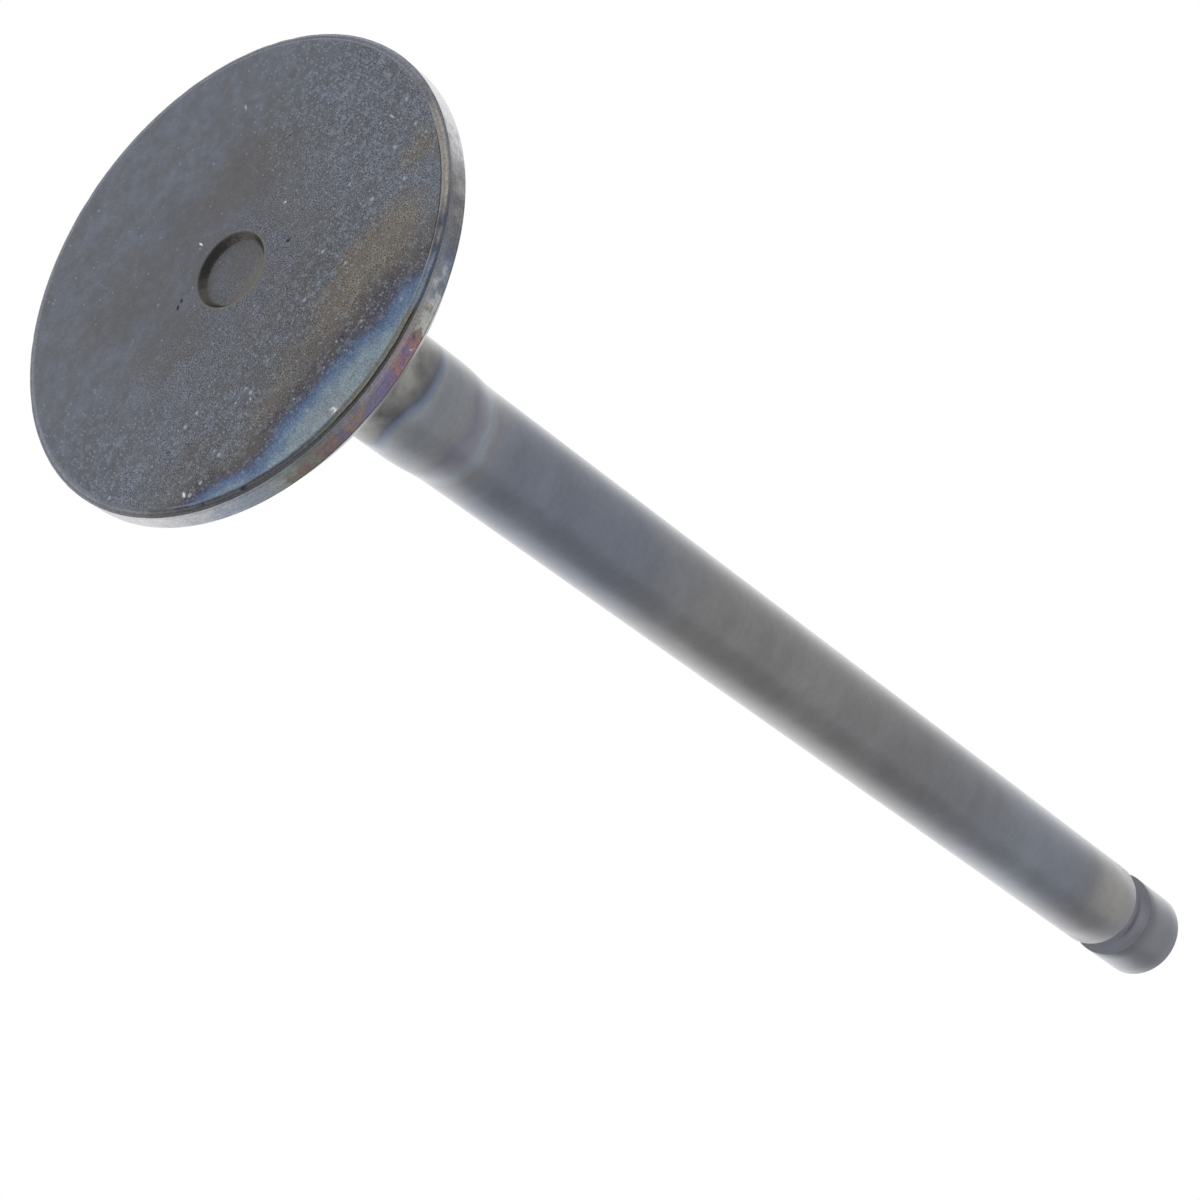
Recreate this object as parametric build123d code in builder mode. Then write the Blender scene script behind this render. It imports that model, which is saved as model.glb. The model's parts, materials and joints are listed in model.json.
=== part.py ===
"""Engine poppet valve, turned from one forging, in millimetres.

It stands on its head: the combustion face lies at Z = 0 and the stem rises along +Z to its tip.
"""

import os
from math import cos, radians, sin, sqrt, tan

from build123d import *

# Overall
overall_length = 115.7  # combustion face to stem tip
head_diameter = 30.6  # over the margin
stem_diameter = 7.0  # runs in the guide

# Head, from the combustion face upwards
edge_width = 0.5  # worn edge between the combustion face and the margin, measured across the face
edge_height = 0.15  # the same edge, measured up the margin
margin_height = 1.5  # combustion face to the start of the seat
seat_width = 2.0  # along the slope
seat_angle = 45.0  # from the plane of the face
underhead_angle = 15.0  # cone behind the seat, from the plane of the face
underhead_radius = 8.0  # fillet that carries the cone up into the neck

# Turning dimple in the middle of the combustion face
dimple_diameter = 4.9  # at the face
dimple_depth = 0.48
dimple_wall_angle = 55.0  # from the plane of the face
dimple_edge_radius = 0.1

# Neck, left slightly thicker than the ground stem
neck_step = 0.22  # per side
neck_height = 18.4  # combustion face to the end of the neck
neck_runout = 2.3  # cone from the neck down to the stem

# Keeper groove and tip
groove_radius = 1.4  # round section, for a beaded keeper
groove_depth = 0.9
groove_edge_radius = 0.12
tip_land_length = 5.4  # stem tip to the nearer edge of the groove
tip_chamfer = 0.3

# Derived sizes
head_radius = head_diameter / 2
stem_radius = stem_diameter / 2
neck_radius = stem_radius + neck_step
seat_inner_radius = head_radius - seat_width * cos(radians(seat_angle))
seat_top = margin_height + seat_width * sin(radians(seat_angle))
cone_top = seat_top + (seat_inner_radius - neck_radius) * tan(radians(underhead_angle))
dimple_radius = dimple_diameter / 2
dimple_floor_radius = dimple_radius - dimple_depth / tan(radians(dimple_wall_angle))
groove_half_width = sqrt(groove_radius**2 - (groove_radius - groove_depth) ** 2)
groove_centre_height = overall_length - tip_land_length - groove_half_width
groove_centre_radius = stem_radius - groove_depth + groove_radius


def at_ring(edges, radius, height):
    """The circular edge of the given radius that lies nearest to the given height."""
    rings = edges.filter_by(GeomType.CIRCLE).filter_by(lambda ring: abs(ring.radius - radius) < 1e-4)
    return rings.sort_by(lambda ring: abs(ring.arc_center.Z - height))[0]


with BuildPart() as valve:
    # Half section of the head, neck and stem, spun round the valve's axis.
    with BuildSketch(Plane.XZ):
        with BuildLine():
            Polyline(
                (0, 0),
                (head_radius - edge_width, 0),
                (head_radius, edge_height),
                (head_radius, margin_height),
                (seat_inner_radius, seat_top),
                (neck_radius, cone_top),
                (neck_radius, neck_height),
                (stem_radius, neck_height + neck_runout),
                (stem_radius, overall_length),
                (0, overall_length),
                close=True,
            )
        make_face()
    revolve(axis=Axis.Z)
    fillet(at_ring(valve.edges(), neck_radius, cone_top), underhead_radius)
    chamfer(at_ring(valve.edges(), stem_radius, overall_length), tip_chamfer)

    # Shallow flat-bottomed dimple where the head was turned on its centre.
    with Locations(Plane.XY):
        Cone(
            dimple_radius,
            dimple_floor_radius,
            dimple_depth,
            align=(Align.CENTER, Align.CENTER, Align.MIN),
            mode=Mode.SUBTRACT,
        )
    fillet(at_ring(valve.edges(), dimple_radius, 0), dimple_edge_radius)

    # Keeper groove: a ring of round section sunk into the stem.
    with BuildSketch(Plane.XZ):
        with Locations((groove_centre_radius, groove_centre_height)):
            Circle(groove_radius)
    revolve(axis=Axis.Z, mode=Mode.SUBTRACT)
    for side in (-1, 1):
        rim = at_ring(valve.edges(), stem_radius, groove_centre_height + side * groove_half_width)
        fillet(rim, groove_edge_radius)

valve.part.label = "valve"

os.makedirs("parts", exist_ok=True)
export_step(valve.part, "parts/valve.step")
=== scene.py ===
"""Heat-tinted engine valve, standing on its combustion face, with its stage.

Metres, +Z from the combustion face (Z = 0) to the stem tip. The -Y side carries the heat tint.
Inside the materials, lengths are in millimetres and the turn round the axis is in degrees: 0 at -X,
90 at -Y and 180 at +X.
"""

import json
from math import acos, cos, hypot, pi, radians, sin, tan

import bmesh
import bpy
from bpy.props import FloatProperty, FloatVectorProperty, IntProperty, PointerProperty
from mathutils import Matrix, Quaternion, Vector, noise


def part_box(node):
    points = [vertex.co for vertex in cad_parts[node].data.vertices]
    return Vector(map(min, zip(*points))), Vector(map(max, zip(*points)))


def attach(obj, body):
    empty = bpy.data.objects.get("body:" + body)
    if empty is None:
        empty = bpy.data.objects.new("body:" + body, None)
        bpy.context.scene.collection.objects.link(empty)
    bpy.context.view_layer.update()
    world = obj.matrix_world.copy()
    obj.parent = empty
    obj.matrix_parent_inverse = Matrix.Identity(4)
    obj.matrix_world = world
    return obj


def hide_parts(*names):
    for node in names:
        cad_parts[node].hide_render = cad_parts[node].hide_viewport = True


bl_info = {
    "name": "Engine valve",
    "version": (1, 0, 0),
    "blender": (4, 5, 0),
    "location": "3D View > Sidebar > Valve",
    "description": "Builds a heat-tinted poppet valve and its studio stage",
    "category": "Object",
}

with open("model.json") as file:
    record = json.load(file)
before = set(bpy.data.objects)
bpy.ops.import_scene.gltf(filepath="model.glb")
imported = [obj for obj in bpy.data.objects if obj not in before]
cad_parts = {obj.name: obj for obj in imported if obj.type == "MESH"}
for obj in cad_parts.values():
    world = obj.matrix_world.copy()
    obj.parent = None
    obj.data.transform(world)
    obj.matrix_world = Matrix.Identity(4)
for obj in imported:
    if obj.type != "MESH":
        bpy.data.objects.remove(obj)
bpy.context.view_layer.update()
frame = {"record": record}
MM = 0.001
NODE = "valve"
MOUNTS = {mount["name"]: mount for mount in frame["record"]["mounts"]}
STEM_PIN = MOUNTS["stem"]
GROOVE = MOUNTS["keeper_groove"]
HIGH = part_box(NODE)[1]
HEAD_MM = HIGH.x / MM  # head radius in the materials' unit


# --- Settings that a user would change


def distance(name, description, default):
    """A length in metres, shown in the scene's units."""
    return FloatProperty(name=name, description=description, default=default, unit="LENGTH")


def angle(name, description, degrees):
    """An angle, given in degrees and kept in radians."""
    return FloatProperty(name=name, description=description, default=radians(degrees), subtype="ANGLE")


def share(name, description, default):
    """A plain number from 0 to 1."""
    return FloatProperty(name=name, description=description, default=default, min=0, max=1, subtype="FACTOR")


def colour(name, description, *parts):
    """A surface colour, given as the three values that a paint swatch shows and kept linear."""
    limits = {"subtype": "COLOR", "min": 0, "max": 1}
    return FloatVectorProperty(name=name, description=description, default=shown(*parts), **limits)


def shown(*parts):
    """Linear colour from the 0 to 255 values that a swatch shows."""
    shares = [part / 255 for part in parts]
    return [part / 12.92 if part <= 0.04045 else ((part + 0.055) / 1.055) ** 2.4 for part in shares]


def triple(name, description, *parts):
    """Three plain numbers: a place or a way."""
    return FloatVectorProperty(name=name, description=description, default=parts)


class ValveSizes(bpy.types.PropertyGroup):
    """Turned form of the valve."""

    overall_length: distance("Length", "Combustion face to stem tip", HIGH.z)
    head_radius: distance("Head radius", "Radius over the margin", HIGH.x)
    stem_radius: distance("Stem radius", "Radius that runs in the guide", STEM_PIN["dims"]["r_mm"] * MM)
    edge_width: distance("Edge width", "Worn edge, measured across the face", 0.5 * MM)
    edge_height: distance("Edge height", "The same edge, measured up the margin", 0.15 * MM)
    margin_height: distance("Margin height", "Face to the start of the seat", 1.5 * MM)
    seat_width: distance("Seat width", "Along the slope of the seat", 2.0 * MM)
    seat_angle: angle("Seat angle", "From the plane of the face", 45)
    underhead_angle: angle("Underhead angle", "Cone behind the seat, from the plane of the face", 15)
    underhead_radius: distance("Underhead radius", "Fillet that carries the cone into the neck", 8 * MM)
    neck_step: distance("Neck step", "From the stem's surface to the neck's", 0.22 * MM)
    neck_height: distance("Neck height", "Face to the end of the neck", 18.4 * MM)
    neck_runout: distance("Neck run-out", "Length of the cone from the neck to the stem", 2.3 * MM)
    dimple_radius: distance("Dimple radius", "Turning dimple, at the face", 2.45 * MM)
    dimple_depth: distance("Dimple depth", "Depth of its flat floor", 0.48 * MM)
    dimple_wall_angle: angle("Dimple wall angle", "From the plane of the face", 55)
    groove_radius: distance("Groove radius", "Round section of the keeper groove", 1.4 * MM)
    groove_depth: distance("Groove depth", "Depth below the stem's surface", 0.9 * MM)
    groove_height: distance("Groove height", "Face to the middle of the groove", GROOVE["pos_m"][2])
    tip_chamfer: distance("Tip chamfer", "Break round the stem tip", 0.3 * MM)
    edge_break: distance("Edge break", "Rounding left on the turned edges", 0.05 * MM)
    runout_softness: distance("Run-out softness", "Rounding at both ends of the run-out", 0.8 * MM)
    edge_wander: distance("Edge wander", "How far the worn edge strays from a true ring", 0.02 * MM)
    segments: IntProperty(name="Segments", description="Steps round the axis", default=320, min=48, max=512)


class SteelFinish(bpy.types.PropertyGroup):
    """Colours of the heat-tinted steel."""

    slate: colour("Slate", "Blasted combustion face", 112, 117, 128)
    slate_rim: colour("Slate rim", "The same face near its rim, which is bluer", 120, 127, 140)
    brown_haze: colour("Brown haze", "Warm patches on the face", 109, 106, 105)
    tan: colour("Tan", "Scorched patches beside the heat front", 133, 125, 113)
    scorch: colour("Scorch", "Dark brown before the heat front", 101, 96, 93)
    violet: colour("Violet", "Darkest line of the heat front", 88, 84, 95)
    deep_blue: colour("Deep blue", "Start of the blue", 88, 94, 118)
    mid_blue: colour("Mid blue", "Strongest blue", 94, 118, 156)
    steel_blue: colour("Steel blue", "Middle of the blue", 119, 143, 173)
    pale_blue: colour("Pale blue", "Past the blue", 147, 165, 178)
    hot_grey: colour("Hot grey", "Hottest part, at the rim", 160, 172, 178)
    speck: colour("Speck", "Bright pits that blasting left", 168, 178, 192)
    soot: colour("Soot", "Baked into the worn edge and the pits", 44, 43, 42)
    # Painted shade on the dimple's wall.
    baked_wall: colour("Baked wall", "Wall of the turning dimple", 60, 58, 58)
    worn_rim: colour("Worn rim", "Rim of the turning dimple", 132, 127, 114)
    rust: colour("Rust", "Flecks in the blue", 140, 122, 108)
    cool_edge: colour("Cool edge", "Far side of the worn edge", 140, 144, 154)
    worn_grey: colour("Worn grey", "Dull parts of the worn edge", 131, 132, 138)
    worn_dark: colour("Worn dark", "Outer half of the dull parts", 114, 113, 117)
    # Beige stretch on the inner half of the worn edge.
    beige: colour("Beige", "Where the edge was rubbed bright", 170, 165, 160)
    edge_blue: colour("Edge blue", "Blued stretch of the worn edge", 128, 142, 162)
    edge_navy: colour("Edge navy", "Dark end of the blued stretch", 93, 98, 112)
    edge_dusk: colour("Edge dusk", "Outer half of the blued stretch", 84, 90, 104)
    pale_edge: colour("Pale edge", "Outer half of the edge on its far sides", 160, 165, 176)
    olive: colour("Olive", "Oiled inner half of the worn edge", 134, 136, 131)
    oiled: colour("Oiled", "Oiled outer half of the worn edge", 84, 83, 79)
    charcoal: colour("Charcoal", "Rough side of the worn edge", 91, 94, 99)
    # Chips are shown near white and not metallic: a painted glint on freshly broken steel.
    chip_glint: colour("Chip", "Freshly broken steel", 250, 250, 250)
    # Near white on the margin's sides: untinted steel with a painted reflection of the white backdrop.
    bare: colour("Bare steel", "Cool sides of the margin", 200, 200, 203)
    dull_margin: colour("Dull margin", "Lower half of the tinted margin", 140, 142, 150)
    stem: colour("Stem", "Ground stem", 137, 136, 137)
    stem_blue: colour("Stem blue", "Blue-grey stretches of the stem", 117, 124, 138)
    neck: colour("Neck", "Baked neck and underhead", 142, 141, 137)
    # Paler patch on the stem, just before the keeper groove.
    pale_patch: colour("Pale patch", "Worn bright before the keeper groove", 160, 156, 152)
    face_roughness: share("Face roughness", "Of the blasted face", 0.55)
    stem_roughness: share("Stem roughness", "Of the ground stem", 0.3)


class StageSettings(bpy.types.PropertyGroup):
    """Camera, floor and light."""

    lens: FloatProperty(name="Lens", description="In millimetres, on a 36 mm sensor", default=96.51)
    camera_place: triple("Camera place", "In head radii from the middle of the face", 0.209, -9.452, -7.297)
    camera_pitch: angle("Camera pitch", "How far the view rises above level", 46.38)
    camera_roll: angle("Camera roll", "Turn about the view's own axis", 125.25)
    floor_radius: distance("Floor radius", "Reach of the floor", 4.0)
    floor_gap: distance("Floor gap", "Floor below the face", 0.02 * MM)
    floor_colour: colour("Floor colour", "Plain pale floor", 231, 231, 231)
    sky_level: share("Sky level", "Light from all round on plain surfaces", 0.8)
    backdrop_way: triple("Backdrop way", "Where gloss sees a white backdrop", 0.15, 0.68, 0.73)
    card_way: triple("Card way", "Where gloss sees a dark card, a line along the stem", 0.55, -0.41, 0.73)
    lamp_height: distance("Lamp height", "Soft lamp above the floor", 1.2)
    lamp_size: distance("Lamp size", "Width of the soft lamp", 0.9)
    lamp_power: FloatProperty(name="Lamp power", description="In watts", default=3.0)


# --- The turned form


class Section:
    """Half section of a turned piece, drawn as a chain of edges that starts and ends on the axis."""

    def __init__(self, mesh, radius, height):
        self.mesh = mesh
        self.end = mesh.verts.new((radius, 0, height))

    def line(self, radius, height, parts=1):
        """Straight run to a new corner, in equal parts."""
        start = self.end.co.copy()
        corner = Vector((radius, 0, height))
        for part in range(parts):
            reached = self.mesh.verts.new(start.lerp(corner, (part + 1) / parts))
            self.mesh.edges.new((self.end, reached))
            self.end = reached

    def arc(self, radius, height, turn, steps):
        """Round run about a centre, turned by a signed angle."""
        centre, axis = (radius, 0, height), (0, 1, 0)
        swept = bmesh.ops.spin(self.mesh, geom=[self.end], cent=centre, axis=axis, angle=turn, steps=steps)
        self.end = [part for part in swept["geom_last"] if isinstance(part, bmesh.types.BMVert)][0]


def seat_ring(size):
    """Radius and height of the seat's inner edge."""
    along = size.seat_width * cos(size.seat_angle)
    up = size.seat_width * sin(size.seat_angle)
    return size.head_radius - along, size.margin_height + up


def draw_section(mesh, size):
    """Chain of edges from the middle of the dimple's floor to the middle of the stem tip."""
    neck_radius = size.stem_radius + size.neck_step
    seat_radius, seat_top = seat_ring(size)
    dimple_floor = size.dimple_radius - size.dimple_depth / tan(size.dimple_wall_angle)
    fillet_turn = pi / 2 - size.underhead_angle
    fillet_centre = neck_radius + size.underhead_radius
    fillet_start = fillet_centre - size.underhead_radius * sin(size.underhead_angle)
    cone_end = seat_top + (seat_radius - fillet_start) * tan(size.underhead_angle)
    fillet_top = cone_end + size.underhead_radius * cos(size.underhead_angle)
    groove_centre = size.stem_radius - size.groove_depth + size.groove_radius
    groove_half_turn = acos((size.groove_radius - size.groove_depth) / size.groove_radius)
    groove_half_width = size.groove_radius * sin(groove_half_turn)

    section = Section(mesh, 0, size.dimple_depth)
    section.line(dimple_floor, size.dimple_depth, parts=7)
    section.line(size.dimple_radius, 0, parts=3)
    section.line(size.head_radius - size.edge_width, 0, parts=63)
    section.line(size.head_radius, size.edge_height, parts=5)
    section.line(size.head_radius, size.margin_height, parts=5)
    section.line(seat_radius, seat_top, parts=4)
    section.line(fillet_start, cone_end, parts=7)
    section.arc(fillet_centre, fillet_top, fillet_turn, steps=18)
    section.line(neck_radius, size.neck_height, parts=7)
    section.line(size.stem_radius, size.neck_height + size.neck_runout)
    section.line(size.stem_radius, size.groove_height - groove_half_width, parts=25)
    section.arc(groove_centre, size.groove_height, 2 * groove_half_turn, steps=14)
    section.line(size.stem_radius, size.overall_length - size.tip_chamfer, parts=4)
    section.line(size.stem_radius - size.tip_chamfer, size.overall_length)
    section.line(0, size.overall_length, parts=5)


def ring_at(mesh, height):
    """Edges of the rings that lie at a height."""
    near = 0.001 * MM
    return [edge for edge in mesh.edges if all(abs(vert.co.z - height) < near for vert in edge.verts)]


def break_edges(mesh, edges, offset, segments=2):
    """Rounds off edges, as tools and handling leave them."""
    settings = {"affect": "EDGES", "offset_type": "OFFSET", "profile": 0.5, "material": -1}
    bmesh.ops.bevel(mesh, geom=edges, offset=offset, segments=segments, **settings)


def turn_valve(size):
    """Mesh of the whole valve, with its turned edges broken."""
    mesh = bmesh.new()
    draw_section(mesh, size)
    section = mesh.verts[:] + mesh.edges[:]
    full = {"cent": (0, 0, 0), "axis": (0, 0, 1), "angle": 2 * pi, "use_merge": True}
    bmesh.ops.spin(mesh, geom=section, steps=size.segments, **full)
    touching = 0.0005 * MM
    bmesh.ops.remove_doubles(mesh, verts=mesh.verts, dist=touching)
    bmesh.ops.recalc_face_normals(mesh, faces=mesh.faces)
    sharp = radians(20)
    break_edges(mesh, [edge for edge in mesh.edges if edge.calc_face_angle() > sharp], size.edge_break)
    for height in (size.neck_height, size.neck_height + size.neck_runout):
        break_edges(mesh, ring_at(mesh, height), size.runout_softness, segments=4)
    return mesh


def fray_edge(mesh, size):
    """Lets the worn edge of the face stray a little from a true ring."""
    inner_radius = size.head_radius - size.edge_width - 2 * size.edge_break
    top = size.edge_height + 2 * size.edge_break
    lump_size, fade, spacing, octaves = 0.9 * MM, 1.0, 2.0, 3
    for vert in mesh.verts:
        radius = hypot(vert.co.x, vert.co.y)
        if vert.co.z > top or radius < inner_radius:
            continue
        lump = noise.fractal(vert.co / lump_size, fade, spacing, octaves)
        if vert.co.z > 0:
            vert.co.z = max(0, vert.co.z + size.edge_wander * lump / 2)
        pull = 1 - size.edge_wander * max(lump, 0) / radius
        vert.co.x *= pull
        vert.co.y *= pull


# --- Marks: chips and pits, as real hollows that carry a tone; the near-white tone of the chips is a painted glint


def on_face(across, along, size):
    """Point on the combustion face, in head radii: across towards -X, along towards -Y."""
    return Vector((-across, -along, 0)) * size.head_radius, Vector((0, 0, 1))


def on_edge(turn, size):
    """Point on the middle of the worn edge at a turn in degrees, and the way into the steel."""
    way = Vector((-cos(radians(turn)), -sin(radians(turn)), 0))
    place = way * (size.head_radius - size.edge_width / 2)
    place.z = size.edge_height / 2
    return place, (Vector((0, 0, size.edge_width)) - way * size.edge_height).normalized()


def on_margin(turn, height, size):
    """Point on the margin at a turn in degrees, and the way into the steel."""
    way = Vector((-cos(radians(turn)), -sin(radians(turn)), 0))
    place = way * size.head_radius
    place.z = height
    return place, -way


class Marker:
    """Presses small hollows into the mesh and keeps their tone in two attributes: one for the chips, which
    carry a painted glint, and one for the pits.
    """

    def __init__(self, mesh):
        self.mesh = mesh
        self.bare = mesh.verts.layers.float.new("bare")
        self.pit = mesh.verts.layers.float.new("pit")

    def press(self, spot, length, width, lean, depth, tone):
        """Hollow of a given length and width, leaning by an angle; a tone above 0 makes it one of the chips,
        with a painted glint, and a tone below 0 one of the pits.
        """
        place, inward = spot
        reach = 0.75 * length
        finest = 0.04 * MM
        for _ in range(2):
            coarse = [edge for edge in self.mesh.edges if edge.calc_length() > finest]
            near = [edge for edge in coarse if all((vert.co - place).length < reach for vert in edge.verts)]
            bmesh.ops.subdivide_edges(self.mesh, edges=near, cuts=1, use_grid_fill=True)
        level = inward.orthogonal().normalized()
        level.rotate(Quaternion(inward, lean))
        beside = inward.cross(level)
        for vert in self.mesh.verts:
            offset = vert.co - place
            if offset.length > reach:
                continue
            far = hypot(offset.dot(level) / (length / 2), offset.dot(beside) / (width / 2))
            if far < 1:
                fall = (1 - far * far) ** 2
                vert.co += inward * depth * fall
                layer = self.bare if tone > 0 else self.pit
                vert[layer] = max(vert[layer], abs(tone) * min(1, 2 * (1 - far)))


# Marks with a tone above 0 are chips with a painted glint; those below 0 are pits.
# On the face: across and along in head radii, length and width in millimetres, lean in degrees, tone
FACE_MARKS = (
    (-0.228, -0.122, 0.44, 0.24, 105, -1),
    (-0.199, -0.128, 0.36, 0.22, 110, -1),
    (0.203, 0.18, 0.34, 0.26, 0, -1),
    (0.535, -0.172, 0.22, 0.16, 0, -1),
    (-0.341, 0.819, 0.15, 0.12, 0, -1),
    (0.015, -0.23, 0.46, 0.15, 45, 1),
    (0.316, 0.035, 0.22, 0.16, 60, 0.9),
    (-0.758, 0.531, 0.5, 0.2, 70, 1),
    (-0.199, 0.926, 0.46, 0.16, 45, 1),
    (-0.207, 0.938, 0.4, 0.15, 125, 1),
    (-0.342, 0.524, 0.36, 0.12, 75, 0.6),
    (-0.498, -0.795, 0.26, 0.16, 50, 0.45),
    (0.538, -0.493, 0.5, 0.17, 75, 0.45),
    (0.785, 0.256, 0.6, 0.14, 45, 0.45),
    (0.692, 0.371, 0.26, 0.14, 45, 0.5),
)
# On the worn edge: turn in degrees, length and width in millimetres, tone
EDGE_MARKS = ((128.5, 0.4, 0.3, -0.9), (139, 0.3, 0.3, -0.5))
# On the margin: turn in degrees, then height, length, width and depth in millimetres, lean in degrees, tone
MARGIN_MARKS = (
    (82.8, 1.27, 0.28, 0.11, 0.02, 90, 1),
    (80.5, 0.83, 0.42, 0.36, 0.02, 0, -0.45),
    (51.5, 0.26, 0.13, 0.11, 0.01, 0, 0.8),
    (53.2, 0.26, 0.13, 0.11, 0.01, 0, 0.6),
    (73.0, 0.26, 0.13, 0.11, 0.01, 0, 0.5),
    (86.5, 0.26, 0.13, 0.11, 0.01, 0, 0.6),
    (108, 0.26, 0.13, 0.11, 0.01, 0, 0.6),
)


def press_marks(mesh, size):
    """The chips and pits that the head picked up in service."""
    marker = Marker(mesh)
    pit_depth, chip_depth, dent_depth = 0.05 * MM, 0.03 * MM, 0.04 * MM
    for across, along, length, width, lean, tone in FACE_MARKS:
        depth = pit_depth if tone < 0 else chip_depth
        marker.press(on_face(across, along, size), length * MM, width * MM, radians(lean), depth, tone)
    for turn, length, width, tone in EDGE_MARKS:
        marker.press(on_edge(turn, size), length * MM, width * MM, 0, dent_depth, tone)
    for turn, height, length, width, depth, lean, tone in MARGIN_MARKS:
        spot = on_margin(turn, height * MM, size)
        marker.press(spot, length * MM, width * MM, radians(lean), depth * MM, tone)


# --- Node trees

# Most of what a noise puts out lies between these values.
NOISE_LOW, NOISE_HIGH = 0.3, 0.7


class Tree:
    """Short names for the nodes that the finishes use. Each call returns an output socket."""

    def __init__(self, tree):
        self.nodes = tree.nodes
        self.links = tree.links

    def feed(self, socket, value):
        """Links an output to a socket, or sets a plain value on it."""
        if isinstance(value, bpy.types.NodeSocket):
            self.links.new(value, socket)
        else:
            socket.default_value = value

    def add(self, kind, settings=None, **values):
        """New node, with its settings and its inputs by name."""
        node = self.nodes.new("ShaderNode" + kind)
        for name, value in (settings or {}).items():
            setattr(node, name, value)
        for name, value in values.items():
            self.feed(node.inputs[name.replace("_", " ")], value)
        return node

    def math(self, operation, *values, kind="Math"):
        """Result of a Math or Vector Math node."""
        node = self.add(kind, {"operation": operation})
        for socket, value in zip(node.inputs, values):
            self.feed(socket, value)
        return node.outputs["Value" if kind == "Math" or operation in ("LENGTH", "DOT_PRODUCT") else "Vector"]

    def vector(self, operation, *values):
        return self.math(operation, *values, kind="VectorMath")

    def plus(self, first, second):
        return self.math("ADD", first, second)

    def minus(self, first, second):
        return self.math("SUBTRACT", first, second)

    def times(self, product, *values):
        """Product of two or more values."""
        for value in values:
            product = self.math("MULTIPLY", product, value)
        return product

    def off(self, value, middle):
        """How far a value lies from the middle, on either side."""
        return self.math("ABSOLUTE", self.minus(value, middle))

    def span(self, value, start, end, low=0.0, high=1.0):
        """Soft step: low at start, high at end."""
        ends = {"From_Min": start, "From_Max": end, "To_Min": low, "To_Max": high}
        return self.add("MapRange", {"interpolation_type": "SMOOTHSTEP"}, Value=value, **ends).outputs[0]

    def where(self, *steps):
        """Mask where several soft steps hold at once; each is given as span takes it."""
        return self.times(*(self.span(*step) for step in steps))

    def noise(self, point, size, detail=2.0, roughness=0.5, seed=0.0):
        """Cloudy value round 0.5, with lumps of about the given size in the point's unit."""
        moved = self.vector("ADD", point, (seed, seed * 0.7, -seed))
        node = self.add("TexNoise", Vector=moved, Scale=0.5 / size, Detail=detail, Roughness=roughness)
        return node.outputs[0]

    def swing(self, value, low, high):
        """A noise's value spread out to run from low to high."""
        return self.span(value, NOISE_LOW, NOISE_HIGH, low, high)

    def mix(self, factor, first, second, blend="MIX"):
        """Mix of two colours, each an output or a plain colour."""
        node = self.add("Mix", {"data_type": "RGBA", "blend_type": blend})
        self.feed(node.inputs[0], factor)
        for socket, tone in ((node.inputs[6], first), (node.inputs[7], second)):
            self.feed(socket, tone if isinstance(tone, bpy.types.NodeSocket) else opaque(tone))
        return node.outputs[2]

    def grey(self, level):
        """Grey of a varying level."""
        return self.add("CombineColor", Red=level, Green=level, Blue=level).outputs[0]

    def shade(self, tone, value, strength, middle=1.0):
        """Colour times a gain that a noise's value sets: the middle, give or take the strength."""
        ends = {"To_Min": middle - strength, "To_Max": middle + strength}
        gain = self.add("MapRange", Value=value, From_Min=NOISE_LOW, From_Max=NOISE_HIGH, **ends)
        return self.mix(1.0, tone, self.grey(gain.outputs[0]), "MULTIPLY")

    def bands(self, value, stops):
        """Colours laid along a value; each stop is a place and a colour, in rising order."""
        first, last = stops[0][0], stops[-1][0]
        run = self.add("MapRange", Value=value, From_Min=first, From_Max=last).outputs[0]
        ramp = self.add("ValToRGB", Fac=run)
        elements = ramp.color_ramp.elements
        for index, (place, tone) in enumerate(stops):
            at = (place - first) / (last - first)
            element = elements[index] if index < 2 else elements.new(at)
            element.position = at
            element.color = opaque(tone)
        return ramp.outputs[0]

    def group(self, name, **values):
        """One of the shared groups, with its inputs by name."""
        return self.add("Group", {"node_tree": bpy.data.node_groups[name]}, **values).outputs


def opaque(tone):
    """Colour with its alpha."""
    return (*tone[:3], 1)


def new_group(name, inputs, outputs):
    """Empty shader group with named sockets; returns its tree and its input and output sockets."""
    tree = bpy.data.node_groups.new(name, "ShaderNodeTree")
    for direction, sockets in (("INPUT", inputs), ("OUTPUT", outputs)):
        for socket, kind in sockets.items():
            tree.interface.new_socket(name=socket, in_out=direction, socket_type="NodeSocket" + kind)
    start = tree.nodes.new("NodeGroupInput")
    end = tree.nodes.new("NodeGroupOutput")
    return Tree(tree), start.outputs, end.inputs


def make_turned_place():
    """Where a point lies on a turned piece."""
    outputs = {"Point": "Vector", **dict.fromkeys(("Radius", "Height", "Turn", "Along"), "Float")}
    tree, _, end = new_group("turned_place", {}, outputs)
    coordinates = tree.add("TexCoord").outputs["Object"]
    point = tree.vector("MULTIPLY", coordinates, (1 / MM, 1 / MM, 1 / MM))
    parts = tree.add("SeparateXYZ", Vector=point).outputs
    flat = tree.add("CombineXYZ", X=parts["X"], Y=parts["Y"]).outputs[0]
    radius = tree.vector("LENGTH", flat)
    turn = tree.math("ARCTAN2", tree.times(parts["Y"], -1), tree.times(parts["X"], -1))
    tree.feed(end["Point"], point)
    tree.feed(end["Radius"], radius)
    tree.feed(end["Height"], parts["Z"])
    tree.feed(end["Turn"], tree.math("DEGREES", turn))
    tree.feed(end["Along"], tree.minus(parts["Z"], radius))


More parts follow.
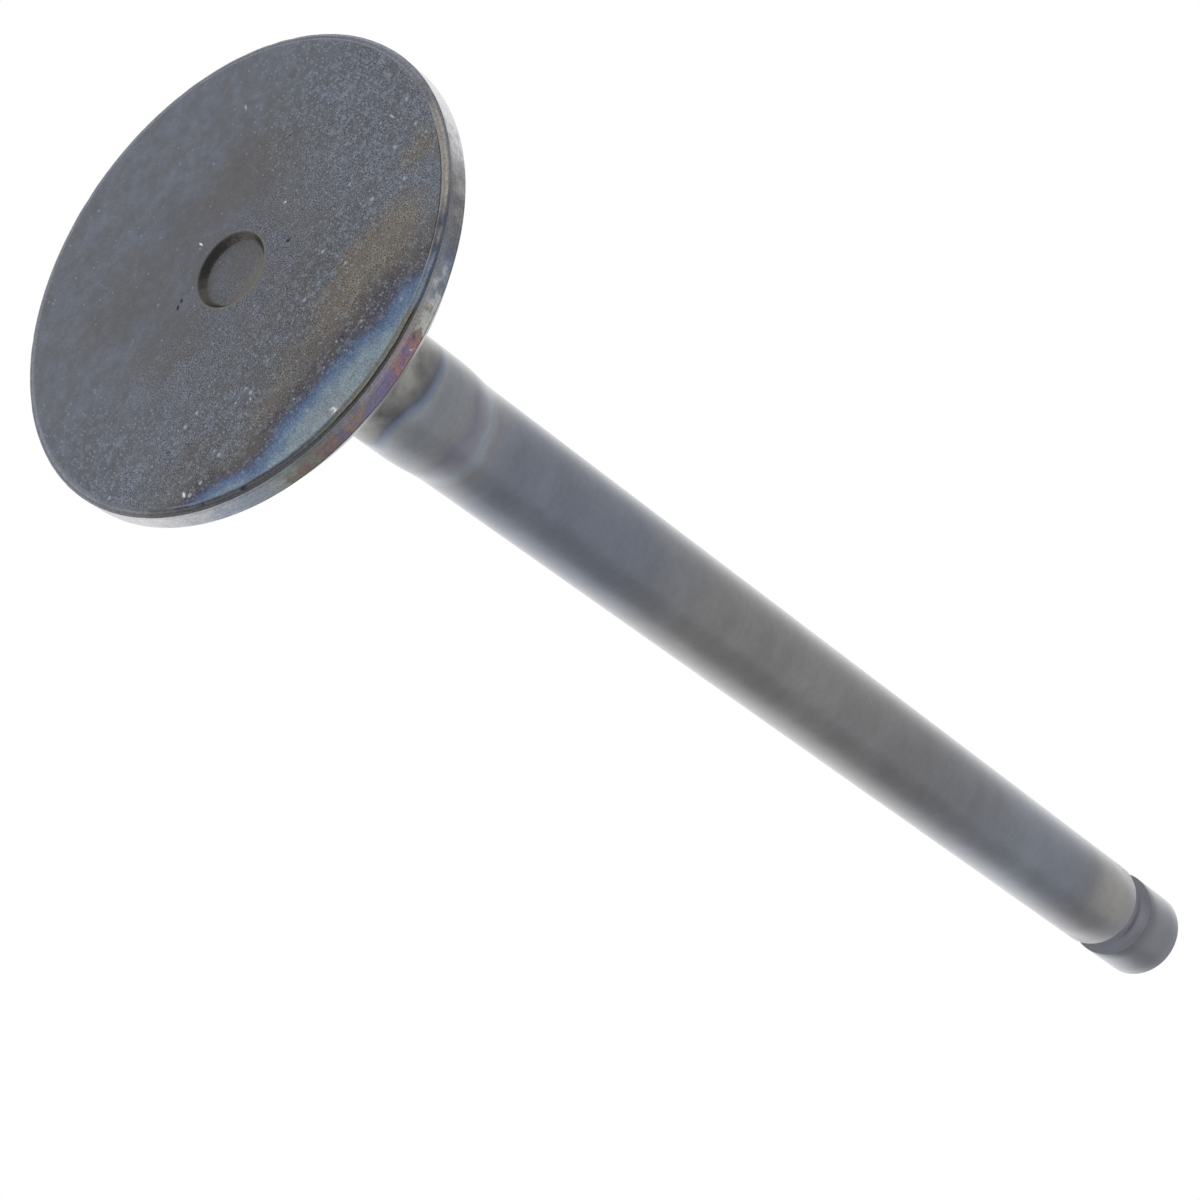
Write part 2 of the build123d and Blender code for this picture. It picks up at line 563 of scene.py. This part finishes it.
def make_turning_lines():
    """Fine rings that the tool or the stone left round the axis, as a value round 0.5."""
    tree, start, end = new_group("turning_lines", {"Pitch": "Float"}, {"Line": "Float"})
    place = tree.group("turned_place")
    ring = tree.math("DIVIDE", place["Along"], start["Pitch"])
    parts = tree.add("SeparateXYZ", Vector=place["Point"]).outputs
    slow = 0.06
    across = tree.times(parts["X"], slow)
    along = tree.times(parts["Y"], slow)
    wound = tree.add("CombineXYZ", X=ring, Y=across, Z=along).outputs[0]
    tree.feed(end["Line"], tree.add("TexNoise", Vector=wound, Scale=0.5, Detail=3, Roughness=0.6).outputs[0])


def make_soft_spot():
    """Soft-edged patch with a ragged outline, 1 in its middle."""
    inputs = {"Centre": "Vector", "Reach": "Vector", "Fray": "Float"}
    tree, start, end = new_group("soft_spot", inputs, {"Mask": "Float"})
    point = tree.group("turned_place")["Point"]
    ragged = tree.add("TexNoise", Vector=point, Scale=0.3, Detail=4, Roughness=0.6).outputs["Color"]
    shift = tree.vector("SUBTRACT", ragged, (0.5, 0.5, 0.5))
    frayed = tree.vector("SCALE", shift)
    tree.feed(frayed.node.inputs["Scale"], start["Fray"])
    moved = tree.vector("SUBTRACT", tree.vector("ADD", point, frayed), start["Centre"])
    far = tree.vector("LENGTH", tree.vector("DIVIDE", moved, start["Reach"]))
    tree.feed(end["Mask"], tree.span(far, 1, 0))


def make_blasted_specks():
    """Small bright dots scattered one to a cell, kept in the given share of the cells."""
    inputs = {"Cell": "Float", "Dot": "Float", "Share": "Float"}
    tree, start, end = new_group("blasted_specks", inputs, {"Mask": "Float"})
    point = tree.group("turned_place")["Point"]
    scale = tree.math("DIVIDE", 1, start["Cell"])
    cells = tree.add("TexVoronoi", {"voronoi_dimensions": "2D"}, Vector=point, Scale=scale)
    pick = tree.add("SeparateXYZ", Vector=cells.outputs["Color"]).outputs
    kept = tree.math("LESS_THAN", pick["X"], start["Share"])
    wide = tree.times(start["Dot"], tree.plus(0.5, pick["Y"]))
    reach = tree.times(cells.outputs["Distance"], start["Cell"])
    near = tree.minus(1, tree.math("DIVIDE", reach, wide))
    tree.feed(end["Mask"], tree.times(tree.span(near, 0, 0.6), kept))


def make_groups():
    """Every shared group, each after those that it holds."""
    make_turned_place()
    make_turning_lines()
    make_soft_spot()
    make_blasted_specks()


# --- Finishes


class Finish:
    """Material under construction, with the colour settings and the surface's place."""

    def __init__(self, name, steel):
        self.material = bpy.data.materials.new(name)
        self.material.use_nodes = True
        self.steel = steel
        self.tree = Tree(self.material.node_tree)
        self.shader = self.tree.nodes["Principled BSDF"]
        self.place = self.tree.group("turned_place")

    def bands(self, value, stops):
        """Colours laid along a value. A stop is a place, then the name of a colour setting or the three
        values that the colour shows."""
        tones = [shown(*tone) if len(tone) == 3 else getattr(self.steel, *tone) for _, *tone in stops]
        return self.tree.bands(value, [(place, tone) for (place, *_), tone in zip(stops, tones)])

    def spots(self, spots, fray):
        """Sum of soft patches on the face, each a place and a reach in head radii, and a weight."""
        any_height = 1000
        total = 0.0
        for across, along, wide, deep, weight in spots:
            centre = (-across * HEAD_MM, -along * HEAD_MM, 0)
            reach = (wide * HEAD_MM, deep * HEAD_MM, any_height)
            mask = self.tree.group("soft_spot", Centre=centre, Reach=reach, Fray=fray)["Mask"]
            total = self.tree.math("MULTIPLY_ADD", mask, weight, total)
        return total

    def dress(self, tone, metallic, roughness, relief, depth, strength):
        """Feeds the shader and returns the material. The depth is in millimetres. Pits and chips lie over the
        colour.
        Chips are near white and not metallic: a painted glint on the broken steel."""
        tree = self.tree
        inputs = self.shader.inputs
        pit = tree.add("Attribute", {"attribute_name": "pit"}).outputs["Fac"]
        bare = tree.add("Attribute", {"attribute_name": "bare"}).outputs["Fac"]
        tone = tree.mix(pit, tone, self.steel.soot)
        tree.feed(inputs["Base Color"], tree.mix(bare, tone, self.steel.chip_glint))
        tree.feed(inputs["Metallic"], tree.times(tree.minus(1, bare), metallic))
        tree.feed(inputs["Roughness"], roughness)
        bump = tree.add("Bump", Strength=strength, Distance=depth * MM, Height=relief)
        tree.feed(inputs["Normal"], bump.outputs[0])
        return self.material


# Along the way past the edge of the heat
HEAT_TINTS = (
    (-3.0, "brown_haze"), (-1.2, "scorch"), (-0.4, "violet"), (0.1, "deep_blue"),
    (0.6, "mid_blue"), (1.3, "steel_blue"), (1.9, "pale_blue"), (3.3, "hot_grey"),
)


def heat_front(finish):
    """Temper colours past the line where the face got hottest, and two masks: where they cover the face
    and where it is smooth."""
    tree = finish.tree
    place = finish.place
    parts = tree.add("SeparateXYZ", Vector=place["Point"]).outputs
    front, tilt, bow = 11.9, -0.175, 0.011
    bowed = tree.math("MULTIPLY_ADD", tree.times(parts["X"], parts["X"]), bow, front)
    line = tree.math("MULTIPLY_ADD", parts["X"], tilt, bowed)
    beyond = tree.minus(tree.times(parts["Y"], -1), line)
    beyond = tree.times(beyond, tree.span(parts["X"], -6, 8, 0.78, 1.25))
    rim_start, rim_slope, rim_turn, rim_reach = 13.75, 1.6, 132, 9.5
    off_turn = tree.math("DIVIDE", tree.minus(place["Turn"], rim_turn), rim_reach)
    along_rim = tree.times(tree.minus(place["Radius"], rim_start), rim_slope)
    along_rim = tree.minus(along_rim, tree.times(off_turn, off_turn))
    wander = tree.swing(tree.noise(place["Point"], 1.0, detail=5, roughness=0.75, seed=7.3), -0.4, 0.4)
    past = tree.plus(tree.math("MAXIMUM", beyond, along_rim), wander)
    return finish.bands(past, HEAT_TINTS), tree.span(past, -2.6, -0.6), tree.span(past, -0.2, 0.7)


# Patches of the face: across towards -X and along towards -Y, reach both ways, weight
HAZED = (
    (-0.36, -0.42, 0.34, 0.26, 0.5),
    (0.40, -0.22, 0.36, 0.28, 0.7),
    (-0.36, -0.02, 0.3, 0.2, 0.35),
    (0.1, -0.3, 0.4, 0.2, 0.4),
    (0.15, 0.34, 0.6, 0.2, 0.35),
    (-0.12, 0.6, 0.75, 0.2, 0.8),
    (-0.7, 0.42, 0.3, 0.22, 0.5),
)
TANNED = (
    (0.27, 0.64, 0.5, 0.22, 1),
    (0.72, 0.47, 0.2, 0.14, 0.6),
    (-0.32, 0.63, 0.34, 0.12, 0.45),
)
BUSY = (
    (0.85, 0, 0.6, 0.75, 1),
    (0.2, 0.45, 0.8, 0.3, 0.8),
    (-0.55, 0.5, 0.45, 0.4, 0.7),
    (-0.9, 0.05, 0.4, 0.55, 0.7),
    (0, 0.85, 0.8, 0.25, 1),
)

# Wall of the dimple, along Y: painted shade in the dark stretches and a painted reflection in the brown
# stretch between them
WALL_SHADING = (
    (-2.4, "tan"), (-1.5, "baked_wall"), (-0.3, "baked_wall"),
    (0.4, "scorch"), (1.1, "scorch"), (2.1, "baked_wall"),
)


def oxidised_face(steel):
    """Blasted combustion face: slate with brown haze, pale flecks and a blue crescent of heat."""
    finish = Finish("oxidised_face", steel)
    tree = finish.tree
    place = finish.place
    point = place["Point"]
    parts = tree.add("SeparateXYZ", Vector=point).outputs

    # Slate with warm patches
    cloud = tree.noise(point, 2.6, detail=3, seed=3.1)
    outward = tree.plus(place["Radius"], tree.swing(cloud, -3, 3))
    tone = tree.mix(tree.span(outward, 4.5, 11), steel.slate, steel.slate_rim)
    warmth = tree.plus(finish.spots(HAZED, fray=4), tree.span(cloud, 0.5, 0.72, 0, 0.3))
    tone = tree.mix(tree.math("MINIMUM", warmth, 1), tone, steel.brown_haze)
    tone = tree.mix(tree.span(finish.spots(TANNED, fray=3.5), 0.05, 0.75), tone, steel.tan)

    # The crescent, with flecks of rust in it
    heat, heated, calm = heat_front(finish)
    tone = tree.mix(heated, tone, heat)
    rust = tree.group("blasted_specks", Cell=1.1, Dot=0.07, Share=0.2)["Mask"]
    tone = tree.mix(tree.times(rust, heated), tone, steel.rust)

    # Grain, crisper towards -Y and calmer in the blue and on the dimple's floor
    floor = tree.span(place["Height"], 0.3, 0.4)
    calm = tree.math("MAXIMUM", calm, tree.times(floor, 0.4))
    rough = tree.math("MULTIPLY_ADD", calm, -0.5, 1)
    towards = tree.math("MULTIPLY_ADD", parts["X"], -0.2, tree.times(parts["Y"], -1.1))
    towards = tree.plus(towards, tree.swing(cloud, -1.5, 1.5))
    crisp = tree.times(tree.span(towards, -6, 3.5, 0.13, 1), rough)
    grain = tree.noise(point, 0.045, detail=1)
    pitted = tree.noise(point, 0.14, detail=3, roughness=0.7, seed=2)
    mottle = tree.noise(point, 0.4, detail=4, roughness=0.65, seed=5)
    grainy = tree.shade(tree.shade(tone, grain, 0.85), pitted, 0.26)
    tone = tree.shade(tree.mix(crisp, tone, grainy), mottle, 0.18)

    # Brown tint, weaker where the face is calm
    tint = tree.span(tree.noise(point, 0.9, detail=5, roughness=0.8, seed=9), 0.38, 0.66, 0, 0.6)
    tint = tree.times(tint, tree.math("MULTIPLY_ADD", calm, -0.85, 1))
    baked_floor = tree.span(tree.noise(point, 0.9, detail=3, seed=4), 0.35, 0.65, 0, 0.7)
    tint = tree.math("MAXIMUM", tint, tree.times(floor, baked_floor))
    tone = tree.mix(tint, tone, steel.brown_haze)

    # Pale flecks and dots, thicker in the busy patches. The large dots keep to the lower half.
    busy = tree.math("MINIMUM", finish.spots(BUSY, fray=4), 1)
    fleck = tree.span(tree.noise(point, 0.26, detail=3, roughness=0.7, seed=12), 0.48, 0.68)
    fleck = tree.times(fleck, tree.math("MULTIPLY_ADD", busy, 0.38, 0.08), rough)
    filled = tree.math("MULTIPLY_ADD", busy, 0.6, 0.02)
    spread = tree.times(filled, tree.span(parts["Y"], -1, -9, 0.03, 0.65))
    specks = 0
    dots = ((0.26, 0.075, filled, 0.5), (0.5, 0.085, filled, 0.55), (0.95, 0.135, spread, 0.95))
    for cell, dot, kept, weight in dots:
        mask = tree.group("blasted_specks", Cell=cell, Dot=dot, Share=kept)["Mask"]
        specks = tree.math("MAXIMUM", specks, tree.times(mask, weight))
    specks = tree.times(specks, tree.math("MULTIPLY_ADD", calm, -0.35, 1))
    tone = tree.shade(tone, tree.span(busy, 0, 1, 0.5, 0.26), 0.14)
    tone = tree.mix(tree.math("MAXIMUM", fleck, specks), tone, steel.speck)

    # Soot in the corner by the worn edge
    corner_radius = HEAD_MM - 0.54
    off_corner = tree.off(place["Radius"], corner_radius)
    sooty = tree.where((off_corner, 0.1, 0.02, 0, 0.6), (place["Turn"], 30, 38), (place["Turn"], 68, 60))
    worn_floor = tree.times(floor, tree.span(parts["Y"], -0.5, -2, 0, 0.7))
    tone = tree.mix(worn_floor, tone, steel.tan)
    tone = tree.mix(sooty, tone, steel.soot)

    # The dimple's wall, with its painted shade and painted reflection, and its worn rim
    wall = tree.where((place["Radius"], 1.98, 2.14), (place["Height"], 0, 0.06))
    along = tree.plus(parts["Y"], tree.swing(mottle, -0.3, 0.3))
    tone = tree.mix(wall, tone, tree.shade(finish.bands(along, WALL_SHADING), grain, 0.3))
    rim_radius = 2.4
    off_rim = tree.off(place["Radius"], rim_radius)
    rim = tree.where((off_rim, 0.28, 0.02), (place["Height"], 0.12, 0.02), (parts["Y"], 1.5, -2, 0.3, 0.95))
    tone = tree.mix(rim, tone, steel.worn_rim)

    roughness = tree.swing(mottle, steel.face_roughness - 0.06, steel.face_roughness + 0.06)
    relief = tree.plus(pitted, specks)
    return finish.dress(tone, 0.35, roughness, relief, depth=0.012, strength=0.3)


# Both halves of the worn edge, along the turn
INNER_TINTS = (
    (12, "cool_edge"), (21, "worn_grey"), (31, "beige"), (53, "beige"),
    (60, "edge_navy"), (69, "edge_blue"), (79, "olive"), (100, "olive"),
    (112, "charcoal"), (142, "charcoal"), (150, "worn_dark"), (158, "worn_grey"),
    (172, "cool_edge"),
)
OUTER_TINTS = (
    (2, "pale_edge"), (12, "cool_edge"), (22, "worn_grey"), (42, "worn_grey"),
    (53, "worn_dark"), (59, "edge_dusk"), (72, "edge_dusk"), (79, "oiled"),
    (103, "oiled"), (112, "charcoal"), (135, "charcoal"), (148, "worn_dark"),
    (160, "worn_grey"), (170, "cool_edge"), (180, "pale_edge"),
)


def sooty_edge(steel):
    """Worn edge of the face: rough charcoal, a black line, and a beige stretch on its inner half."""
    finish = Finish("sooty_edge", steel)
    tree = finish.tree
    place = finish.place
    point = place["Point"]
    turn = tree.plus(place["Turn"], tree.swing(tree.noise(point, 0.9), -4, 4))
    stray = 0.02
    ragged = tree.swing(tree.noise(point, 0.5, detail=3, roughness=0.6), -stray, stray)
    across = tree.plus(tree.minus(place["Radius"], HEAD_MM), ragged)
    border = -0.15
    outer_half = tree.span(across, border - 0.03, border + 0.03)
    tone = tree.mix(outer_half, finish.bands(turn, INNER_TINTS), finish.bands(turn, OUTER_TINTS))
    off_border = tree.off(across, border)
    for laid, *steps in (
        (steel.soot, (off_border, 0.07, 0.02), (turn, 70, 80), (turn, 113, 101, 0.25, 1), (turn, 150, 140)),
        (steel.beige, (across, -0.42, -0.48), (turn, 44, 54, 0, 0.7), (turn, 76, 66)),
        (steel.edge_blue, (across, -0.38, -0.44), (turn, 100, 108), (turn, 152, 144)),
    ):
        tone = tree.mix(tree.where(*steps), tone, laid)
    tone = tree.shade(tone, tree.group("turning_lines", Pitch=0.04)["Line"], 0.32)
    tone = tree.shade(tone, tree.noise(point, 0.07, detail=2, roughness=0.7), 0.3)
    roughness = tree.span(ragged, -stray, stray, 0.45, 0.65)
    relief = tree.noise(point, 0.1, detail=3)
    return finish.dress(tone, 0.35, roughness, relief, depth=0.015, strength=0.4)


# Along the turn. Near white towards both sides, round 20 to 31 and 148 to 180: untinted steel with a painted
# reflection of the white backdrop.
MARGIN_TINTS = (
    (-60, 186, 184, 180),
    (20, 244, 244, 246),
    (31, 232, 232, 234),
    (40, 178, 178, 180),
    (48, 150, 149, 150),
    (54, 124, 123, 126),
    (60, 118, 128, 150),
    (66, 148, 156, 167),
    (69.5, 188, 193, 198),
    (73.5, 202, 204, 202),
    (77.5, 160, 152, 136),
    (81, 142, 134, 128),
    (83, 176, 138, 130),
    (85.3, 150, 120, 142),
    (90, 132, 126, 160),
    (94, 136, 128, 146),
    (97.5, 160, 138, 118),
    (101, 128, 124, 142),
    (107, 134, 124, 136),
    (110, 150, 128, 122),
    (114, 140, 138, 128),
    (121, 170, 176, 174),
    (130, 154, 164, 180),
    (148, "bare"),
    (158, 214, 214, 216),
    (180, "bare"),
)


def heat_tinted_margin(steel):
    """Fine-turned margin: temper colours in the middle; its cool sides are untinted steel with a painted
    reflection of the white backdrop, near white.
    """
    finish = Finish("heat_tinted_margin", steel)
    tree = finish.tree
    point = finish.place["Point"]
    height = finish.place["Height"]
    lines = tree.group("turning_lines", Pitch=0.05)["Line"]
    stray, lean, mid_height = 6, -4, 0.85
    drift = tree.swing(tree.noise(point, 0.6, detail=4, roughness=0.65), -stray, stray)
    leaning = tree.times(tree.minus(height, mid_height), lean)
    turn = tree.plus(tree.plus(finish.place["Turn"], drift), leaning)
    tone = finish.bands(turn, MARGIN_TINTS)
    ragged = tree.plus(height, tree.span(drift, -stray, stray, -0.15, 0.15))
    dull = tree.where((ragged, mid_height, 0.35, 0, 0.6), (turn, 128, 118), (turn, 44, 56))
    tone = tree.mix(dull, tone, steel.dull_margin)
    sooty = tree.where((height, 1.4, 1.46, 0, 0.6), (turn, 48, 58), (turn, 140, 126))
    tone = tree.mix(sooty, tone, steel.soot)
    bright = tree.where((height, 0.8, 0.3), (turn, 74, 78), (turn, 108, 96))
    tone = tree.shade(tone, tree.math("MULTIPLY_ADD", bright, 0.2, 0.5), 0.4)
    tone = tree.shade(tone, lines, 0.17, middle=0.99)
    tone = tree.shade(tone, tree.noise(point, 0.07, detail=2, roughness=0.7, seed=2), 0.2)
    return finish.dress(tone, 1, tree.swing(lines, 0.28, 0.42), lines, depth=0.006, strength=0.3)


# Along the height
SEAT_TINTS = (
    (1.5, 140, 146, 158),
    (1.75, 170, 172, 176),
    (1.9, 190, 190, 192),
    (2.05, 138, 136, 134),
    (2.5, 146, 144, 142),
    (2.62, 188, 188, 190),
    (2.92, 150, 148, 146),
)


def ground_seat(steel):
    """Seat: bright ground steel with fine rings and a dull contact band."""
    finish = Finish("ground_seat", steel)
    tree = finish.tree
    lines = tree.group("turning_lines", Pitch=0.07)["Line"]
    cloud = tree.noise(finish.place["Point"], 0.5, detail=4, roughness=0.65)
    tone = finish.bands(finish.place["Height"], SEAT_TINTS)
    tone = tree.shade(tone, lines, 0.11, middle=0.99)
    tone = tree.shade(tone, cloud, 0.09, middle=0.99)
    return finish.dress(tone, 1, tree.swing(lines, 0.25, 0.38), lines, depth=0.006, strength=0.3)


# Along the height
STEM_TINTS = (
    (2.4, 128, 126, 126),
    (5, "neck"),
    (11.8, "neck"),
    (13.1, 116, 115, 116),
    (13.5, 92, 97, 114),
    (13.85, 118, 134, 162),
    (14.2, 152, 158, 160),
    (15, 138, 143, 150),
    (17.6, 142, 145, 152),
    (18.3, 134, 135, 140),
    (18.9, 118, 122, 140),
    (19.5, 140, 138, 150),
    (19.9, 142, 148, 158),
    (20.3, 158, 170, 182),
    (20.8, 142, 142, 147),
    (22, 132, 137, 148),
    (24, "stem_blue"),
    (36, "stem_blue"),
    (46, "stem"),
    (53, 132, 131, 132),
    (61, "stem"),
    (74, 118, 118, 122),
    (84, 118, 122, 131),
    (92, 128, 135, 147),
    (97, 120, 127, 140),
    (101, 113, 114, 122),
    (105, 116, 116, 121),
    # From 107 to 110.3: painted shade, the darker band before the keeper groove, and painted light, the pale
    # band at 108.6 that lifts the groove's own shade.
    (107, 108, 110, 120),
    (108.6, 150, 152, 160),
    (110.3, 110, 111, 122),
    (112.9, 126, 127, 134),
    (115.7, 120, 121, 132),
)


def tempered_stem(steel):
    """Underhead, neck and stem: baked brown up to a blue line, then ground steel with faint tints, and
    painted shade and light round the keeper groove.
    """
    finish = Finish("tempered_stem", steel)
    tree = finish.tree
    point = finish.place["Point"]
    height = finish.place["Height"]
    lines = tree.group("turning_lines", Pitch=0.12)["Line"]
    cloud = tree.noise(point, 2.4, detail=4, roughness=0.6, seed=1)
    drift = tree.noise(point, 2.4, detail=1, seed=1)

    # The blue line climbs away from the -Y side.
    front_turn, half_width = 90, 45
    off_turn = tree.math("DIVIDE", tree.minus(finish.place["Turn"], front_turn), half_width)
    climb = tree.math("MINIMUM", tree.times(off_turn, off_turn, 0.8), 1.6)
    climb = tree.times(climb, tree.span(height, 19, 15))
    level = tree.plus(height, tree.swing(drift, -0.5, 0.5))
    tone = finish.bands(tree.minus(level, climb), STEM_TINTS)

    # A pale patch before the keeper groove, smoke that is strongest below the blue line, and blue tints
    patch = tree.group("soft_spot", Centre=(-1.5, -3.2, 104.3), Reach=(4.4, 4.4, 4.6), Fray=3)["Mask"]
    tone = tree.mix(patch, tone, steel.pale_patch)
    smoky = tree.noise(point, 1.2, detail=4, roughness=0.6, seed=6)
    tone = tree.shade(tree.shade(tone, cloud, 0.08), smoky, 0.1)
    blotched = tree.times(tree.span(height, 14.5, 12.5), tree.swing(smoky, -0.2, 0.2))
    tone = tree.shade(tone, tree.plus(blotched, 0.5), 0.45)
    tinted = tree.span(tree.noise(point, 5, detail=2, seed=8), 0.5, 0.7, 0, 0.5)
    tone = tree.mix(tinted, tone, steel.stem_blue)
    tone = tree.shade(tone, lines, 0.04)
    tone = tree.shade(tone, tree.noise(point, 0.2, detail=2, seed=4), 0.03)

    # Thin film of oil, which brightens the sides that are seen at a grazing angle
    finish.shader.inputs["Coat Weight"].default_value = 1
    finish.shader.inputs["Coat Roughness"].default_value = 0.22
    roughness = tree.swing(cloud, steel.stem_roughness - 0.03, steel.stem_roughness + 0.05)
    return finish.dress(tone, 1, roughness, lines, depth=0.004, strength=0.2)


FACE, EDGE, MARGIN, SEAT, STEM = range(5)
FINISHES = (oxidised_face, sooty_edge, heat_tinted_margin, ground_seat, tempered_stem)


def finish_of(middle, size):
    """Which finish a face of the turned form carries, from the place of its middle."""
    radius = hypot(middle.x, middle.y)
    seat_radius, seat_top = seat_ring(size)
    if middle.z < size.dimple_depth + size.edge_break and radius < size.head_radius - size.edge_width:
        return FACE
    if middle.z < size.edge_height + size.edge_break:
        return EDGE
    if middle.z < size.margin_height + size.edge_break:
        return MARGIN
    if middle.z < seat_top and radius > seat_radius:
        return SEAT
    return STEM


# --- Operators


def link_object(scene, name, data):
    """New object of the data, in the scene."""
    made = bpy.data.objects.new(name, data)
    scene.collection.objects.link(made)
    return made


def link_mesh(scene, name, mesh):
    """New object of a finished bmesh, in the scene."""
    data = bpy.data.meshes.new(name)
    mesh.to_mesh(data)
    mesh.free()
    return link_object(scene, name, data)


class VALVE_OT_build_valve(bpy.types.Operator):
    """Build the turned valve and its heat-tinted steel"""

    bl_idname = "valve.build_valve"
    bl_label = "Build valve"

    def execute(self, context):
        size = context.scene.valve_sizes
        steel = context.scene.valve_steel
        mesh = turn_valve(size)
        fray_edge(mesh, size)
        press_marks(mesh, size)
        for face in mesh.faces:
            face.smooth = True
            face.material_index = finish_of(face.calc_center_median(), size)
        piece = link_mesh(context.scene, "turned_valve", mesh)
        make_groups()
        for finish in FINISHES:
            piece.data.materials.append(finish(steel))
        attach(piece, "root")
        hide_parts(NODE)
        return {"FINISHED"}


def place_camera(scene, stage, size):
    """Camera below the floor, looking up along the valve."""
    data = bpy.data.cameras.new("camera")
    data.lens = stage.lens
    camera = link_object(scene, "camera", data)
    camera.location = Vector(stage.camera_place) * size.head_radius
    forward = Vector((0, cos(stage.camera_pitch), sin(stage.camera_pitch)))
    level = forward.to_track_quat("-Z", "Y")
    camera.rotation_mode = "QUATERNION"
    camera.rotation_quaternion = level @ Quaternion((0, 0, 1), stage.camera_roll)
    scene.camera = camera


def lay_floor(scene, stage, size):
    """Pale floor round the head, open under it. It is seen through from below."""
    mesh = bmesh.new()
    steps = 128
    for radius in (size.head_radius, stage.floor_radius):
        bmesh.ops.create_circle(mesh, segments=steps, radius=radius)
    bmesh.ops.bridge_loops(mesh, edges=mesh.edges[:])
    bmesh.ops.translate(mesh, verts=mesh.verts, vec=(0, 0, -stage.floor_gap))
    for face in mesh.faces:
        if face.normal.z < 0:
            face.normal_flip()
    floor = link_mesh(scene, "floor", mesh)
    material = bpy.data.materials.new("pale_floor")
    material.use_nodes = True
    tree = Tree(material.node_tree)
    shader = tree.nodes["Principled BSDF"]
    shader.inputs["Base Color"].default_value = opaque(stage.floor_colour)
    shader.inputs["Roughness"].default_value = 0.8
    seen = tree.add("MixShader")
    tree.feed(seen.inputs[0], tree.add("NewGeometry").outputs["Backfacing"])
    tree.feed(seen.inputs[1], shader.outputs[0])
    tree.feed(seen.inputs[2], tree.add("BsdfTransparent").outputs[0])
    tree.feed(tree.nodes["Material Output"].inputs["Surface"], seen.outputs[0])
    floor.data.materials.append(material)


def light_sky(scene, stage):
    """Plain light from all round. Gloss sees a white backdrop, a greyer room and a dark card."""
    world = bpy.data.worlds.new("studio")
    scene.world = world
    world.use_nodes = True
    tree = Tree(world.node_tree)
    way = tree.add("TexCoord").outputs["Generated"]
    backdrop = Vector(stage.backdrop_way).normalized()
    card_way = Vector(stage.card_way).normalized()
    towards = tree.vector("DOT_PRODUCT", way, backdrop[:])
    dark, dim, wall, white = 0.1, 0.25, 0.62, 1.0
    levels = ((-1, dark), (-0.6, dim), (-0.2, wall), (0.52, wall), (0.85, white), (1, white))
    room = tree.bands(towards, [(place, (level,) * 3) for place, level in levels])
    card_edge, card_middle = cos(radians(28)), cos(radians(8))
    card = tree.span(tree.vector("DOT_PRODUCT", way, card_way[:]), card_edge, card_middle, 1.0, 0.72)
    gloss = tree.mix(1.0, room, tree.grey(card), "MULTIPLY")
    path = tree.add("LightPath").outputs
    light = tree.mix(path["Is Glossy Ray"], (stage.sky_level,) * 3, gloss)
    seen = tree.math("MAXIMUM", path["Is Camera Ray"], path["Is Transmission Ray"])
    light = tree.mix(seen, light, (white,) * 3)
    tree.feed(tree.nodes["Background"].inputs["Color"], light)


def hang_lamp(scene, stage):
    """Soft lamp overhead, which gives the floor its shadow."""
    data = bpy.data.lights.new("soft_lamp", "AREA")
    data.shape = "DISK"
    data.size = stage.lamp_size
    data.energy = stage.lamp_power
    lamp = link_object(scene, "soft_lamp", data)
    aside = -0.2
    lamp.location = (aside, aside, stage.lamp_height)
    lamp.rotation_mode = "QUATERNION"
    lamp.rotation_quaternion = (-lamp.location).to_track_quat("-Z", "Y")
    lamp.visible_glossy = False


class VALVE_OT_build_stage(bpy.types.Operator):
    """Build the floor, the light and the camera"""

    bl_idname = "valve.build_stage"
    bl_label = "Build stage"

    def execute(self, context):
        scene = context.scene
        lay_floor(scene, scene.valve_stage, scene.valve_sizes)
        light_sky(scene, scene.valve_stage)
        hang_lamp(scene, scene.valve_stage)
        place_camera(scene, scene.valve_stage, scene.valve_sizes)
        scene.view_settings.view_transform = "Standard"
        return {"FINISHED"}


class VALVE_PT_panel(bpy.types.Panel):
    """Sidebar panel that lists the steps"""

    bl_idname = "VALVE_PT_panel"
    bl_label = "Engine valve"
    bl_space_type = "VIEW_3D"
    bl_region_type = "UI"
    bl_category = "Valve"

    def draw(self, context):
        self.layout.operator("valve.build_valve")
        self.layout.operator("valve.build_stage")


SETTINGS = {"valve_sizes": ValveSizes, "valve_steel": SteelFinish, "valve_stage": StageSettings}
CLASSES = (*SETTINGS.values(), VALVE_OT_build_valve, VALVE_OT_build_stage, VALVE_PT_panel)


def register():
    for kind in CLASSES:
        bpy.utils.register_class(kind)
    for name, kind in SETTINGS.items():
        setattr(bpy.types.Scene, name, PointerProperty(type=kind))


def unregister():
    for name in SETTINGS:
        delattr(bpy.types.Scene, name)
    for kind in reversed(CLASSES):
        bpy.utils.unregister_class(kind)


def main():
    register()
    bpy.ops.valve.build_valve()
    bpy.ops.valve.build_stage()


if __name__ == "__main__":
    main()
